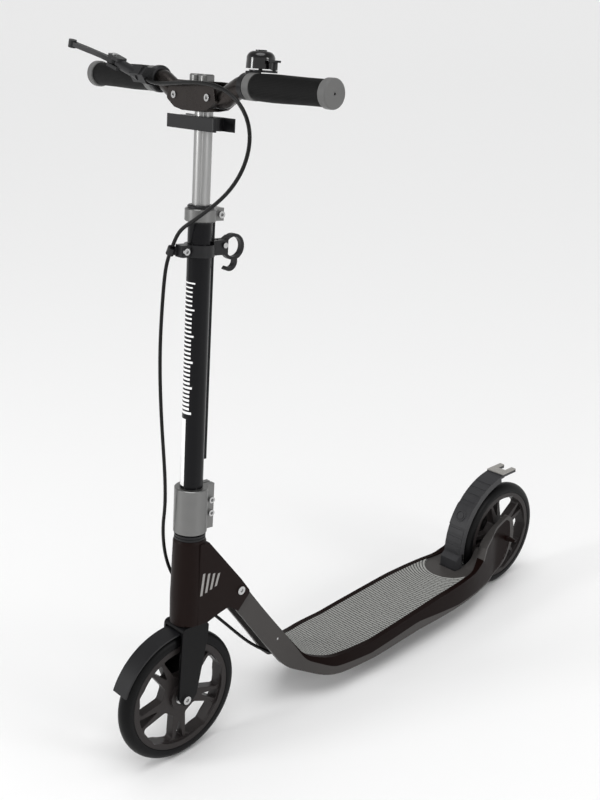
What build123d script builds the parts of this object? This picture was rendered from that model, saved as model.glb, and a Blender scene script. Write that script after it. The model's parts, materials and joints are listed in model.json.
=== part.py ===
from build123d import *
import os
from math import atan2, cos, hypot, pi, radians, sin, tan

# Folding two-wheel kick scooter with a hand brake, in millimetres.
# X points forward, Y to the rider's left, Z up; the origin lies on the ground
# midway between the wheels.

os.makedirs("parts", exist_ok=True)

# ---------------------------------------------------------------- driving dimensions
WHEEL_R = 102.5             # tyre radius
TYRE_HALF = 12.7            # half the tyre's width
RIM_R = 85.0                # where the tyre is moulded on to the core
AXLE_X = 384.0              # front axle; the rear axle is at -AXLE_X
HUB_HALF = 13.0             # half the hub's width
BEARING_R = 11.0            # 8 x 22 x 7 ball bearing
BEARING_W = 7.0
AXLE_R = 3.95
RUN = 0.05                  # radial running clearance
GAP = 0.4                   # clearance between bodies that don't touch

RAKE = radians(4.73)        # steering axis leans back by this
FOOT_X, FOOT_Z = 361.9, 200.0   # zero point of the steering axis

FORK_TOP = 19.0             # heights along the steering axis from that point
HEAD_LOW, HEAD_HIGH = 20.0, 152.0
SEAL_LOW, SEAL_HIGH = 152.6, 160.0
COLLAR_LOW, COLLAR_HIGH = 162.0, 230.0
TUBE_TOP = 602.0
CLAMP_LOW, CLAMP_HIGH = 604.0, 621.0
BRACKET_LOW, BRACKET_HIGH = 558.0, 574.0
CLIP_LOW, CLIP_HIGH = 721.0, 738.0
HINGE_S = 762.0             # height of the bar hinges
GRIP_S = 779.0              # height of the grips
POST_LOW, POST_TOP = 410.0, 776.0

STEERER_R = 14.3
TUBE_R, TUBE_BORE = 16.3, 14.4
POST_R = 11.9
BAR_R = 12.6
GRIP_R = 16.5
BAR_A = 5.0                 # the bars sit this far ahead of the steering axis
HINGE_Y = 34.0
GRIP_IN, GRIP_OUT, BAR_END = 108.0, 228.0, 240.0

PIVOT_X, PIVOT_Z = 278.0, 247.0     # fold bolt
NECK_ANGLE = atan2(126.0, 83.0)     # slope of the neck
NECK_UP, NECK_DOWN = 10.9, 22.9     # neck depth above and below the fold bolt
NECK_HALF = 20.0
CHEEK_IN, CHEEK_OUT = 20.4, 26.0

FENDER_R = 131.0
FENDER_HALF = 18.4
FENDER_PIVOT = (-252.0, 64.0)
SHOE_PIVOT = (-268.0, 52.0)
CABLE_R = 2.5


# ---------------------------------------------------------------- frames of reference
def stem_point(a, y, s):
    """Point a ahead of the steering axis, y to the left and s up the axis."""
    return Vector(FOOT_X + a * cos(RAKE) - s * sin(RAKE), y, FOOT_Z + a * sin(RAKE) + s * cos(RAKE))


STEM_UP = Vector(-sin(RAKE), 0, cos(RAKE))
STEM_FORWARD = Vector(cos(RAKE), 0, sin(RAKE))


def stem_level(s, a=0.0, y=0.0):
    """Plane square to the steering axis; sketch axes point forward and left."""
    return Plane(origin=stem_point(a, y, s), x_dir=STEM_FORWARD, z_dir=STEM_UP)


def stem_side(y):
    """Plane beside the stem; sketch axes are forward and up the axis, extrusion runs to the right."""
    return Plane(origin=stem_point(0, y, 0), x_dir=STEM_FORWARD, z_dir=(0, -1, 0))


def stem_front(a):
    """Plane across the stem; sketch axes are left and up the axis, extrusion runs forward."""
    return Plane(origin=stem_point(a, 0, 0), x_dir=(0, 1, 0), z_dir=STEM_FORWARD)


def side(y):
    """Upright plane along the scooter; sketch axes are X and Z, extrusion runs to the right."""
    return Plane(origin=(0, y, 0), x_dir=(1, 0, 0), z_dir=(0, -1, 0))


def finish(part, name):
    """Label a finished piece and write it."""
    part.label = name
    export_step(part, f"parts/{name}.step")


def mirrored(part):
    """The same piece on the other side of the scooter."""
    return mirror(part, about=Plane.XZ)


def pin_across(x, z, radius, y_low, y_high, bore=0.0):
    """Round pin or bush along Y."""
    with BuildPart() as pin:
        with BuildSketch(side(y_high)):
            with Locations((x, z)):
                Circle(radius)
                if bore:
                    Circle(bore, mode=Mode.SUBTRACT)
        extrude(amount=y_high - y_low)
    return pin.part


# ---------------------------------------------------------------- wheels
SPOKES = 5


def wheel_tyre(axle_x):
    """Tyre with a round crown and a step where it meets the core."""
    with BuildPart() as tyre:
        with BuildSketch(Plane(origin=(axle_x, 0, WHEEL_R), x_dir=(1, 0, 0), z_dir=(0, 0, 1))):
            with BuildLine():
                crown_r = WHEEL_R - TYRE_HALF
                Polyline((crown_r, -TYRE_HALF), (RIM_R + 1.5, -TYRE_HALF), (RIM_R, -TYRE_HALF + 1.5),
                         (RIM_R, TYRE_HALF - 1.5), (RIM_R + 1.5, TYRE_HALF), (crown_r, TYRE_HALF))
                ThreePointArc((crown_r, TYRE_HALF), (WHEEL_R, 0), (crown_r, -TYRE_HALF))
            make_face()
        revolve(axis=Axis((axle_x, 0, WHEEL_R), (0, 1, 0)))
    return tyre.part


def polar(radius, degrees):
    return (radius * cos(radians(degrees)), radius * sin(radians(degrees)))


def wheel_core(axle_x, turn):
    """Cast core: rim, hub and five split spokes between rounded openings."""
    hub_plane = Plane(origin=(axle_x, HUB_HALF, WHEEL_R), x_dir=(1, 0, 0), z_dir=(0, -1, 0))
    disc_half = 7.5
    rim_in = 76.0
    with BuildPart() as core:
        with BuildSketch(hub_plane.offset(HUB_HALF - disc_half)):
            Circle(RIM_R)
        extrude(amount=2 * disc_half)
        with BuildSketch(hub_plane.offset(1.4)):
            Circle(RIM_R)
            Circle(rim_in, mode=Mode.SUBTRACT)
        extrude(amount=2 * (HUB_HALF - 1.4))
        with BuildSketch(hub_plane):
            Circle(19)
        extrude(amount=2 * HUB_HALF)
        for i in range(SPOKES):
            mid = turn + i * 360 / SPOKES
            with BuildSketch(hub_plane):
                with BuildLine():
                    Polyline(polar(33, mid - 17), polar(33, mid + 17), polar(rim_in - 1, mid + 26.5),
                             polar(rim_in + 3.5, mid), polar(rim_in - 1, mid - 26.5), close=True)
                opening = make_face()
                fillet(opening.vertices(), 6)
                spoke = mid + 180 / SPOKES
                with BuildLine():
                    Polyline(polar(40, spoke), polar(rim_in - 1, spoke + 6.5), polar(rim_in - 1, spoke - 6.5),
                             close=True)
                window = make_face()
                fillet(window.vertices(), 1.2)
            extrude(amount=2 * HUB_HALF, mode=Mode.SUBTRACT)
        with BuildSketch(hub_plane):
            Circle(BEARING_R)
        extrude(amount=BEARING_W, mode=Mode.SUBTRACT)
        with BuildSketch(hub_plane.offset(2 * HUB_HALF - BEARING_W)):
            Circle(BEARING_R)
        extrude(amount=BEARING_W, mode=Mode.SUBTRACT)
        with BuildSketch(hub_plane):
            Circle(BEARING_R - 2)
        extrude(amount=2 * HUB_HALF, mode=Mode.SUBTRACT)
    return core.part


def wheel_bearings(axle_x):
    """Two ball bearings, shields recessed, and the spacer tube between them."""
    solids = []
    for y in (HUB_HALF, -HUB_HALF + BEARING_W):
        with BuildPart() as bearing:
            plane = Plane(origin=(axle_x, y, WHEEL_R), x_dir=(1, 0, 0), z_dir=(0, -1, 0))
            with BuildSketch(plane):
                Circle(BEARING_R)
                Circle(AXLE_R + RUN, mode=Mode.SUBTRACT)
            extrude(amount=BEARING_W)
            for face in (plane, plane.offset(BEARING_W - 0.5)):
                with BuildSketch(face):
                    Circle(BEARING_R - 2)
                    Circle(AXLE_R + 2, mode=Mode.SUBTRACT)
                extrude(amount=0.5, mode=Mode.SUBTRACT)
        solids += bearing.solids()
    spacer = pin_across(axle_x, WHEEL_R, 6.0, -(HUB_HALF - BEARING_W - 0.1), HUB_HALF - BEARING_W - 0.1,
                        AXLE_R + RUN)
    return Compound(children=solids + spacer.solids())


def axle_bolt(axle_x, inner, outer):
    """Axle: through bolt, head and nut outside the plates, washers that centre the hub."""
    with BuildPart() as bolt:
        with BuildSketch(side(outer)):
            with Locations((axle_x, WHEEL_R)):
                Circle(AXLE_R)
        extrude(amount=2 * outer)
        with BuildSketch(side(outer + 3.2)):
            with Locations((axle_x, WHEEL_R)):
                Circle(6.5)
        extrude(amount=3.2)
        with BuildSketch(side(outer + 3.2)):
            with Locations((axle_x, WHEEL_R)):
                RegularPolygon(3.2, 6)
        extrude(amount=2.2, mode=Mode.SUBTRACT)
        with BuildSketch(side(-outer)):
            with Locations((axle_x, WHEEL_R)):
                Circle(6.5)
        extrude(amount=3.2)
        for low, high in ((HUB_HALF + 0.3, inner - 0.05), (-inner + 0.05, -HUB_HALF - 0.3)):
            with BuildSketch(side(high)):
                with Locations((axle_x, WHEEL_R)):
                    Circle(6.0)
            extrude(amount=high - low)
    return bolt.part


FORK_IN, FORK_OUT = 18.5, 22.8
ARM_IN, ARM_OUT = 22.0, 28.0

for wheel, axle_x, turn in (("front", AXLE_X, 23.0), ("rear", -AXLE_X, 40.0)):
    finish(wheel_tyre(axle_x), f"{wheel}_tyre")
    finish(wheel_core(axle_x, turn), f"{wheel}_wheel_core")
    finish(wheel_bearings(axle_x), f"{wheel}_bearings")
finish(axle_bolt(AXLE_X, FORK_IN, FORK_OUT), "front_axle")

# ---------------------------------------------------------------- fork and steerer
AXLE_A = (AXLE_X - FOOT_X) * cos(RAKE) + (WHEEL_R - FOOT_Z) * sin(RAKE)
AXLE_S = -(AXLE_X - FOOT_X) * sin(RAKE) + (WHEEL_R - FOOT_Z) * cos(RAKE)

with BuildPart() as fork:
    with BuildSketch(stem_side(FORK_OUT)) as leg:
        with BuildLine():
            Polyline((24, FORK_TOP), (27, -96), (18, AXLE_S - 10), (6, AXLE_S - 9), (-5, -96), (-22.5, -6),
                     (-24, FORK_TOP), close=True)
        make_face()
        fillet(leg.vertices().group_by(Axis.Z)[0], 7)
    extrude(amount=2 * FORK_OUT)
    with BuildSketch(stem_side(FORK_IN)):
        with Locations((0, -60)):
            Rectangle(90, 145)
    extrude(amount=2 * FORK_IN, mode=Mode.SUBTRACT)
    with BuildSketch(side(FORK_OUT)):
        with Locations((AXLE_X, WHEEL_R)):
            Circle(AXLE_R + 0.02)
    extrude(amount=2 * FORK_OUT, mode=Mode.SUBTRACT)
finish(fork.part, "fork")

with BuildPart() as steerer_tube:
    with BuildSketch(stem_level(FORK_TOP)):
        Circle(STEERER_R)
        Circle(STEERER_R - 2.5, mode=Mode.SUBTRACT)
    extrude(amount=COLLAR_HIGH - 5 - FORK_TOP)
finish(steerer_tube.part, "steerer_tube")

GUARD_R = WHEEL_R + 7.0
with BuildPart() as front_mudguard:
    # Arched plate over the front of the tyre, bolted under the crown.
    with BuildSketch(side(15.5)):
        with BuildLine():
            arc_out = CenterArc((AXLE_X, WHEEL_R), GUARD_R, 24, 68)
            arc_in = CenterArc((AXLE_X, WHEEL_R), GUARD_R - 2.6, 24, 68)
            Line(arc_out @ 0, arc_in @ 0)
            Line(arc_out @ 1, arc_in @ 1)
        make_face()
    extrude(amount=31)
    # Block that bolts the guard to the crown's underside.
    with BuildSketch(stem_side(12)):
        with Locations((8, 6.5)):
            Rectangle(24, 12)
    extrude(amount=24)
    with BuildSketch(side(30)):
        with Locations((AXLE_X, WHEEL_R)):
            Circle(GUARD_R - 2.6)
    extrude(amount=60, mode=Mode.SUBTRACT)
print("mudguard solids", len(front_mudguard.part.solids()))
finish(front_mudguard.part, "front_mudguard")

# ---------------------------------------------------------------- steering head
PIVOT_A = (PIVOT_X - FOOT_X) * cos(RAKE) + (PIVOT_Z - FOOT_Z) * sin(RAKE)
PIVOT_S = -(PIVOT_X - FOOT_X) * sin(RAKE) + (PIVOT_Z - FOOT_Z) * cos(RAKE)
HEAD_BORE = 20.6
BUTTON_A, BUTTON_S = -66.0, 47.0
BUTTON_R = 6.0

with BuildPart() as head_casting:
    # Tapered head tube.
    with BuildSketch(stem_side(0)):
        with BuildLine():
            Polyline((0, HEAD_LOW), (25.5, HEAD_LOW), (26, 60), (24, HEAD_HIGH - 4), (22.6, HEAD_HIGH),
                     (0, HEAD_HIGH), close=True)
        make_face()
    revolve(axis=Axis(stem_point(0, 0, 0), STEM_UP))
    # Gusset that carries the fold bolt.
    with BuildSketch(stem_side(CHEEK_OUT)) as gusset:
        with BuildLine():
            Polyline((0, 148), (-16, 148), (-80, 72), (-99.5, 46), (-76.5, 20), (-58, 33), (-40, 28),
                     (-18, HEAD_LOW), (0, HEAD_LOW), close=True)
        make_face()
        fillet(gusset.vertices().sort_by(Axis.X)[0], 7)
    extrude(amount=2 * CHEEK_OUT)
    # Slot for the neck, open behind and below.
    with BuildSketch(stem_side(CHEEK_IN)):
        with Locations((PIVOT_A, PIVOT_S)):
            Circle(29)
        with BuildLine():
            Polyline((PIVOT_A + 20, PIVOT_S + 21), (PIVOT_A - 40, PIVOT_S + 60), (PIVOT_A - 60, PIVOT_S - 40),
                     (PIVOT_A + 15, PIVOT_S - 60), (PIVOT_A + 21, PIVOT_S - 20), close=True)
        make_face()
    extrude(amount=2 * CHEEK_IN, mode=Mode.SUBTRACT)
    with BuildSketch(stem_level(HEAD_LOW)):
        Circle(HEAD_BORE)
    extrude(amount=HEAD_HIGH - HEAD_LOW, mode=Mode.SUBTRACT)
    with BuildSketch(stem_side(CHEEK_OUT)):
        with Locations((PIVOT_A, PIVOT_S)):
            Circle(5.0)
    extrude(amount=2 * CHEEK_OUT, mode=Mode.SUBTRACT)
    with BuildSketch(stem_side(-CHEEK_IN)):
        with Locations((BUTTON_A, BUTTON_S)):
            Circle(BUTTON_R + GAP)
    extrude(amount=CHEEK_OUT - CHEEK_IN, mode=Mode.SUBTRACT)
finish(head_casting.part, "head_casting")

with BuildPart() as head_bearings:
    for low in (HEAD_LOW + 0.5, HEAD_HIGH - 9.5):
        with BuildSketch(stem_level(low)):
            Circle(HEAD_BORE)
            Circle(STEERER_R + RUN, mode=Mode.SUBTRACT)
        extrude(amount=9)
finish(head_bearings.part, "head_bearings")

with BuildPart() as fold_bolt:
    with BuildSketch(side(CHEEK_OUT)):
        with Locations((PIVOT_X, PIVOT_Z)):
            Circle(4.95)
    extrude(amount=2 * CHEEK_OUT)
    with BuildSketch(side(CHEEK_OUT + 2.4)):
        with Locations((PIVOT_X, PIVOT_Z)):
            Circle(6.6)
    extrude(amount=2.4)
    with BuildSketch(side(CHEEK_OUT + 2.4)):
        with Locations((PIVOT_X, PIVOT_Z)):
            RegularPolygon(3.2, 6)
    extrude(amount=1.6, mode=Mode.SUBTRACT)
    with BuildSketch(side(-CHEEK_OUT)):
        with Locations((PIVOT_X, PIVOT_Z)):
            Circle(6.6)
    extrude(amount=2.4)
finish(fold_bolt.part, "fold_bolt")

with BuildPart() as fold_button:
    with BuildSketch(stem_side(-CHEEK_IN - 1.6)):
        with Locations((BUTTON_A, BUTTON_S)):
            Circle(BUTTON_R)
    extrude(amount=CHEEK_OUT - CHEEK_IN + 3.5)
    chamfer(fold_button.edges().sort_by(Axis.Y)[0], 1.0)
finish(fold_button.part, "fold_button")

# ---------------------------------------------------------------- stem
with BuildPart() as headset_seal:
    with BuildSketch(stem_level(SEAL_LOW)):
        Circle(22.6)
        Circle(STEERER_R, mode=Mode.SUBTRACT)
    extrude(amount=SEAL_HIGH - SEAL_LOW)
    with BuildSketch(stem_level(SEAL_LOW + 3)):
        Circle(23)
        Circle(21.6, mode=Mode.SUBTRACT)
    extrude(amount=1.2, mode=Mode.SUBTRACT)
finish(headset_seal.part, "headset_seal")


def clamp_collar(s_low, s_high, outer, lug_a, lug_half, bolt_heights):
    """Split clamp round the stem with lugs and bolt holes behind it."""
    with BuildPart() as collar:
        with BuildSketch(stem_level(s_low)):
            Circle(outer)
            with Locations((-lug_a / 2, 0)):
                Rectangle(lug_a, 2 * lug_half)
            Circle(TUBE_R, mode=Mode.SUBTRACT)
            with Locations((-lug_a, 0)):
                Rectangle(2 * lug_a, 2.4, mode=Mode.SUBTRACT)
        extrude(amount=s_high - s_low)
        chamfer(collar.edges().filter_by(GeomType.CIRCLE).filter_by(lambda e: abs(e.radius - outer) < 0.1),
                1.2)
        with BuildSketch(stem_side(lug_half)):
            for s in bolt_heights:
                with Locations((-lug_a + 6, s)):
                    Circle(3.1)
        extrude(amount=2 * lug_half, mode=Mode.SUBTRACT)
    return collar.part


LOWER_LUG, LOWER_HALF, LOWER_BOLTS = 34.5, 9.0, (186.0, 206.0)
UPPER_LUG, UPPER_HALF, UPPER_BOLTS = 33.0, 8.0, (612.5,)
finish(clamp_collar(COLLAR_LOW, COLLAR_HIGH, 24.2, LOWER_LUG, LOWER_HALF, LOWER_BOLTS), "lower_collar")
finish(clamp_collar(CLAMP_LOW, CLAMP_HIGH, 21.0, UPPER_LUG, UPPER_HALF, UPPER_BOLTS), "upper_collar")


def collar_bolt(s, lug_a, lug_half):
    """Socket screw across a collar's lugs, head on the left."""
    with BuildPart() as bolt:
        with BuildSketch(stem_side(lug_half)):
            with Locations((-lug_a + 6, s)):
                Circle(3.0)
        extrude(amount=2 * lug_half)
        with BuildSketch(stem_side(lug_half + 4)):
            with Locations((-lug_a + 6, s)):
                Circle(4.8)
        extrude(amount=4)
        with BuildSketch(stem_side(lug_half + 4)):
            with Locations((-lug_a + 6, s)):
                RegularPolygon(2.6, 6)
        extrude(amount=2.6, mode=Mode.SUBTRACT)
    return bolt.part


bolts = [collar_bolt(s, LOWER_LUG, LOWER_HALF) for s in LOWER_BOLTS]
bolts += [collar_bolt(s, UPPER_LUG, UPPER_HALF) for s in UPPER_BOLTS]
stem_fasteners = [b.solids()[0] for b in bolts]

KEEL_LOW = 268.0
KEEL_HALF = 3.6
KEEL_A = 23.5
with BuildPart() as stem_tube:
    # Round tube with a keel along its back.
    with BuildSketch(stem_level(COLLAR_LOW)):
        Circle(TUBE_R)
        Circle(TUBE_BORE, mode=Mode.SUBTRACT)
    extrude(amount=TUBE_TOP - COLLAR_LOW)
    with BuildSketch(stem_level(KEEL_LOW)) as keel:
        with Locations((-(KEEL_A + TUBE_BORE + 1) / 2, 0)):
            Rectangle(KEEL_A - TUBE_BORE - 1, 2 * KEEL_HALF)
        fillet(keel.vertices().group_by(Axis.X)[0], 2)
    extrude(amount=TUBE_TOP - KEEL_LOW)
finish(stem_tube.part, "stem_tube")

with BuildPart() as top_bush:
    with BuildSketch(stem_level(TUBE_TOP - 40)):
        Circle(TUBE_BORE - 0.02)
        Circle(POST_R + RUN, mode=Mode.SUBTRACT)
    extrude(amount=CLAMP_HIGH - TUBE_TOP + 40)
    with BuildSketch(stem_level(TUBE_TOP)):
        Circle(TUBE_R)
        Circle(POST_R + RUN, mode=Mode.SUBTRACT)
    extrude(amount=CLAMP_HIGH - TUBE_TOP)
    with BuildSketch(stem_level(CLAMP_HIGH)):
        Circle(17.6)
        Circle(POST_R + RUN, mode=Mode.SUBTRACT)
    extrude(amount=4.5)
    chamfer(top_bush.faces().sort_by(Axis.Z)[-1].outer_wire().edges(), 1.5)
finish(top_bush.part, "top_bush")

# ---------------------------------------------------------------- hook bracket
HOOK_PIVOT = (-36.0, 571.0)
with BuildPart() as hook_bracket:
    with BuildSketch(stem_level(BRACKET_LOW)):
        Circle(20.5)
        with Locations((24.5, -2)):
            RectangleRounded(17, 17, 3)
        with Locations((-30, 0)):
            RectangleRounded(28, 17, 3)
        with Locations((18, -2)):
            Rectangle(14, 14)
        Circle(TUBE_R, mode=Mode.SUBTRACT)
        with Locations((-(TUBE_R + KEEL_A) / 2, 0)):
            Rectangle(KEEL_A - TUBE_R + 3, 2 * KEEL_HALF, mode=Mode.SUBTRACT)
    extrude(amount=BRACKET_HIGH + 4 - BRACKET_LOW)
    with BuildSketch(stem_side(4.6)):
        with Locations((-40, 566)):
            Rectangle(27, 40)
    extrude(amount=9.2, mode=Mode.SUBTRACT)
    with BuildSketch(stem_side(20)):
        with Locations(HOOK_PIVOT):
            Circle(2.5)
    extrude(amount=40, mode=Mode.SUBTRACT)
    with BuildSketch(stem_level(BRACKET_HIGH)):
        with Locations((14, 0)):
            Rectangle(50, 60)
    extrude(amount=10, mode=Mode.SUBTRACT)
    with BuildSketch(stem_side(6.5)):
        with Locations((27, 566)):
            Circle(3.0)
    extrude(amount=12, mode=Mode.SUBTRACT)

with BuildPart() as bracket_screw:
    with BuildSketch(stem_side(6.5)):
        with Locations((27, 566)):
            Circle(2.95)
    extrude(amount=11.5)
    with BuildSketch(stem_side(9.5)):
        with Locations((27, 566)):
            Circle(4.6)
    extrude(amount=3)
    with BuildSketch(stem_side(9.5)):
        with Locations((27, 566)):
            RegularPolygon(2.5, 6)
    extrude(amount=2, mode=Mode.SUBTRACT)
with BuildPart() as hook_pin:
    with BuildSketch(stem_side(10)):
        with Locations(HOOK_PIVOT):
            Circle(2.45)
    extrude(amount=20)
    with BuildSketch(stem_side(11.5)):
        with Locations(HOOK_PIVOT):
            Circle(3.8)
    extrude(amount=1.5)
stem_fasteners += [bracket_screw.part.solids()[0], hook_pin.part.solids()[0]]
finish(Compound(children=stem_fasteners), "stem_fasteners")

RING_A, RING_S = -56.0, 567.0
with BuildPart() as hook_lever:
    # Finger ring with a hook under it and a lug round the hook pin.
    with BuildSketch(stem_side(4.0)):
        with Locations((RING_A, RING_S)):
            Circle(18)
        with Locations(HOOK_PIVOT):
            Circle(6.5)
        with BuildLine():
            Polyline((-36, 577), (-46, 583), (-46, 560), (-36, 564.6), close=True)
        make_face()
        with BuildLine():
            hook_out = CenterArc((RING_A + 6, RING_S - 20), 13, 120, 190)
            hook_in = CenterArc((RING_A + 6, RING_S - 20), 8, 120, 190)
            Line(hook_out @ 0, hook_in @ 0)
            Line(hook_out @ 1, hook_in @ 1)
        make_face()
        with Locations((RING_A, RING_S)):
            Circle(13.6, mode=Mode.SUBTRACT)
        with Locations(HOOK_PIVOT):
            Circle(2.5, mode=Mode.SUBTRACT)
    extrude(amount=8)
finish(hook_lever.part, "hook_lever")

CLIP_MIDDLE = stem_point(37, -13, 565)
CLIP_HALF = 5.5
CLIP_LEAN = radians(28)     # the guide leans towards the cable's loop
CLIP_AXIS = STEM_UP * cos(CLIP_LEAN) + Vector(0, sin(CLIP_LEAN), 0)
with BuildPart() as clipped_bracket:
    # Guide that carries the brake cable on the front of the bracket.
    add(hook_bracket.part)
    with BuildSketch(Plane(origin=CLIP_MIDDLE - CLIP_AXIS * CLIP_HALF, z_dir=CLIP_AXIS)):
        Circle(5.5)
    extrude(amount=2 * CLIP_HALF)
    with BuildSketch(stem_level(BRACKET_LOW + 2)):
        with Locations((33, -8)):
            Rectangle(5, 9)
    extrude(amount=11)
    with BuildSketch(Plane(origin=CLIP_MIDDLE - CLIP_AXIS * 20, z_dir=CLIP_AXIS)):
        Circle(CABLE_R + 0.05)
    extrude(amount=40, mode=Mode.SUBTRACT)
print("bracket solids", len(clipped_bracket.part.solids()))
finish(clipped_bracket.part, "hook_bracket")

# ---------------------------------------------------------------- T-bar post and casting
with BuildPart() as inner_post:
    with BuildSketch(stem_level(POST_LOW)):
        Circle(POST_R)
        for turn in (45, -45, 135, -135):
            with Locations(polar(POST_R + 0.6, turn)):
                Circle(1.3, mode=Mode.SUBTRACT)
        Circle(POST_R - 2.4, mode=Mode.SUBTRACT)
    extrude(amount=POST_TOP - POST_LOW)
finish(inner_post.part, "inner_post")

CLIP_BAR_Y = 40.0
with BuildPart() as bar_clip:
    # Two open saddles that hold the folded bars, on a band round the post.
    with BuildSketch(stem_level(CLIP_LOW)) as plan:
        with Locations((BAR_A, 0)):
            RectangleRounded(36, 102, 5)
        for way in (1, -1):
            with Locations((BAR_A, way * CLIP_BAR_Y)):
                Circle(BAR_R + 2.0, mode=Mode.SUBTRACT)
            with Locations((BAR_A, way * (CLIP_BAR_Y + 15))):
                Rectangle(2 * BAR_R + 4.0, 30, mode=Mode.SUBTRACT)
            with Locations((BAR_A, way * (CLIP_BAR_Y - 6))):
                Rectangle(2 * BAR_R + 4.0, 12, mode=Mode.SUBTRACT)
        Circle(POST_R, mode=Mode.SUBTRACT)
    extrude(amount=CLIP_HIGH - CLIP_LOW)
finish(bar_clip.part, "bar_clip")



def latch_outline(play):
    """Add the twin push button's outline to the open sketch."""
    with Locations((0, 9), (0, -9)):
        RectangleRounded(20 + 2 * play, 15 + 2 * play, 6)
    Rectangle(10 + 2 * play, 8 + 2 * play)


WALL_IN, WALL_OUT = 13.2, 17.5
CASTING_LOW, CASTING_HIGH = 744.0, 781.0
with BuildPart() as bar_casting:
    # Bridge: a block on the post, front and rear walls that hold the hinge pins.
    with BuildSketch(stem_front(BAR_A - WALL_OUT)) as outline:
        with BuildLine():
            Polyline((-30, CASTING_HIGH), (30, CASTING_HIGH), (46, 773), (50, 757), (34, 747), (17, CASTING_LOW),
                     (-17, CASTING_LOW), (-34, 747), (-50, 757), (-46, 773), close=True)
        make_face()
        fillet(outline.vertices(), 3)
    extrude(amount=2 * WALL_OUT)
    for way in (1, -1):
        with BuildSketch(stem_front(BAR_A - WALL_IN)):
            with Locations((way * 53, CASTING_LOW + 15)):
                Rectangle(70, 60)
        extrude(amount=2 * WALL_IN, mode=Mode.SUBTRACT)
    with BuildSketch(stem_front(BAR_A - WALL_OUT)):
        for way in (1, -1):
            with Locations((way * HINGE_Y, HINGE_S)):
                Circle(3.0)
    extrude(amount=2 * WALL_OUT, mode=Mode.SUBTRACT)
    with BuildSketch(stem_level(CASTING_LOW)):
        Circle(POST_R)
    extrude(amount=POST_TOP - CASTING_LOW, mode=Mode.SUBTRACT)
    with BuildSketch(stem_level(CASTING_HIGH - 4, a=BAR_A)):
        latch_outline(GAP)
    extrude(amount=10, mode=Mode.SUBTRACT)
finish(bar_casting.part, "bar_casting")

pins = []
for way in (1, -1):
    with BuildPart() as bar_pin:
        with BuildSketch(stem_front(BAR_A - WALL_OUT)):
            with Locations((way * HINGE_Y, HINGE_S)):
                Circle(2.95)
        extrude(amount=2 * WALL_OUT)
        with BuildSketch(stem_front(BAR_A + WALL_OUT)):
            with Locations((way * HINGE_Y, HINGE_S)):
                Circle(4.6)
                RegularPolygon(2.4, 6, mode=Mode.SUBTRACT)
        extrude(amount=1.8)
    pins += bar_pin.part.solids()
finish(Compound(children=pins), "bar_hinge_pins")

with BuildPart() as bar_latch:
    # Rounded twin push button on top of the bridge.
    with BuildSketch(stem_level(CASTING_HIGH - 0.5, a=BAR_A)):
        latch_outline(0)
    extrude(amount=9.0)
    fillet(bar_latch.faces().sort_by(Axis.Z)[-1].edges(), 2.5)
finish(bar_latch.part, "bar_latch")

# ---------------------------------------------------------------- handlebar halves
BAR_PATH = [(HINGE_Y, HINGE_S), (47, HINGE_S - 0.5), (66, HINGE_S + 10), (80, GRIP_S), (BAR_END - 6, GRIP_S)]


def handlebar_half():
    """Bent tube with a solid knuckle at the hinge (left half)."""
    with BuildPart() as bar:
        with BuildLine(stem_front(BAR_A)) as axis_line:
            FilletPolyline(*BAR_PATH, radius=[22, 60, 22])
        with BuildSketch(Plane(origin=axis_line.line @ 0, z_dir=axis_line.line % 0)):
            Circle(BAR_R)
            Circle(BAR_R - 2.2, mode=Mode.SUBTRACT)
        sweep(path=axis_line.line)
        with BuildSketch(stem_front(BAR_A - WALL_IN + 0.4)):
            with Locations((HINGE_Y, HINGE_S)):
                Circle(BAR_R)
        extrude(amount=2 * WALL_IN - 0.8)
        with BuildSketch(stem_front(BAR_A - WALL_IN)):
            with Locations((HINGE_Y, HINGE_S)):
                Circle(3.0)
        extrude(amount=2 * WALL_IN, mode=Mode.SUBTRACT)
    return bar.part


left_handlebar = handlebar_half()
finish(left_handlebar, "left_handlebar")
finish(mirrored(left_handlebar), "right_handlebar")


def grip_half():
    """Ribbed rubber grip, thinner in the middle (left half)."""
    with BuildPart() as grip:
        with BuildSketch(stem_front(BAR_A)):
            with BuildLine():
                Polyline((GRIP_OUT, GRIP_S + 15.4), (GRIP_OUT, GRIP_S + BAR_R), (GRIP_IN, GRIP_S + BAR_R),
                         (GRIP_IN, GRIP_S + 16.0))
                Spline((GRIP_IN, GRIP_S + 16.0), (GRIP_IN + 30, GRIP_S + GRIP_R), (GRIP_IN + 85, GRIP_S + 15.6),
                       (GRIP_OUT, GRIP_S + 15.4))
            make_face()
        revolve(axis=Axis(stem_point(BAR_A, 0, GRIP_S), (0, 1, 0)))
    return grip.part


def across(y, s=GRIP_S):
    """Plane square to the grips at y, extrusion towards the left."""
    return Plane(origin=stem_point(BAR_A, y, s), x_dir=STEM_FORWARD, z_dir=(0, 1, 0))


def grip_rings():
    """Collar inside the grip and cap at the bar's end (left half)."""
    with BuildPart() as collar:
        with BuildSketch(across(95.5)):
            Circle(16.4)
            Circle(BAR_R, mode=Mode.SUBTRACT)
        extrude(amount=GRIP_IN - 95.5)
        fillet(collar.edges().filter_by(GeomType.CIRCLE).filter_by(lambda e: e.radius > 16), 1.2)
    with BuildPart() as cap:
        with BuildSketch(across(GRIP_OUT)):
            Circle(17.4)
        extrude(amount=BAR_END - GRIP_OUT)
        fillet(cap.edges().filter_by(GeomType.CIRCLE), 2.2)
        with BuildSketch(across(GRIP_OUT)):
            Circle(BAR_R)
        extrude(amount=BAR_END - 6 - GRIP_OUT, mode=Mode.SUBTRACT)
        with BuildSketch(across(BAR_END - 3)):
            Circle(1.6)
        extrude(amount=3, mode=Mode.SUBTRACT)
    return Compound(children=[collar.part.solids()[0], cap.part.solids()[0]])


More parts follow.
